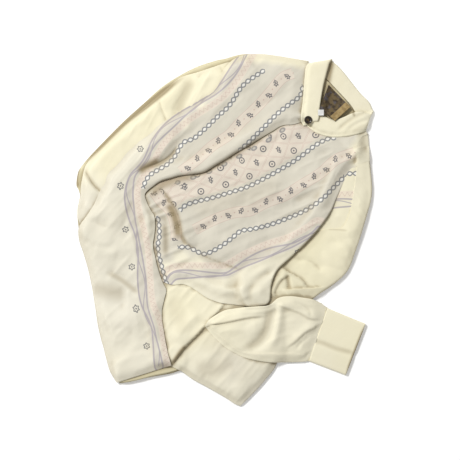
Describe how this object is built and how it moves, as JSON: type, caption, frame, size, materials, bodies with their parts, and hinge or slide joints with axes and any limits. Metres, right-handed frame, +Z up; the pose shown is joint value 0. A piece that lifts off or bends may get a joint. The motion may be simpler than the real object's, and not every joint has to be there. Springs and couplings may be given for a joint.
{
  "type": "mandarin collar shirt",
  "caption": "Long-sleeved cotton shirt with a buttoned stand collar and banded print on its fronts, dropped in a loose flat heap with one cuff reaching out",
  "frame": {"origin": "centre of the outline on the surface that the shirt lies on, at the height of that surface", "axes": "+X to the right and +Y away in the view from above that the picture has; +Z up from the surface"},
  "size_m": [0.6574, 0.776, 0.0358],
  "materials": {
    "cotton": "ivory cotton, plain weave, matt",
    "cotton_printed": "ivory cotton with a soft grey, lilac and pale pink banded print",
    "cotton_inside": "ivory cotton seen from inside, in shade",
    "button": "near-black, slightly glossy",
    "label": "dark brown woven tape, bare"
  },
  "bodies": {
    "root": {"hidden_layers": "cotton_inside", "back": "cotton_inside", "back_neck": "cotton_inside", "sleeve_right": "cotton", "front_right": "cotton_printed", "front_left": "cotton_printed", "front_left_side": "cotton_printed", "front_left_lower": "cotton", "sleeve_left_upper": "cotton", "sleeve_left_lower": "cotton", "cuff_left": "cotton", "collar": "cotton", "button": "button", "label": "label"}
  },
  "joints": []
}
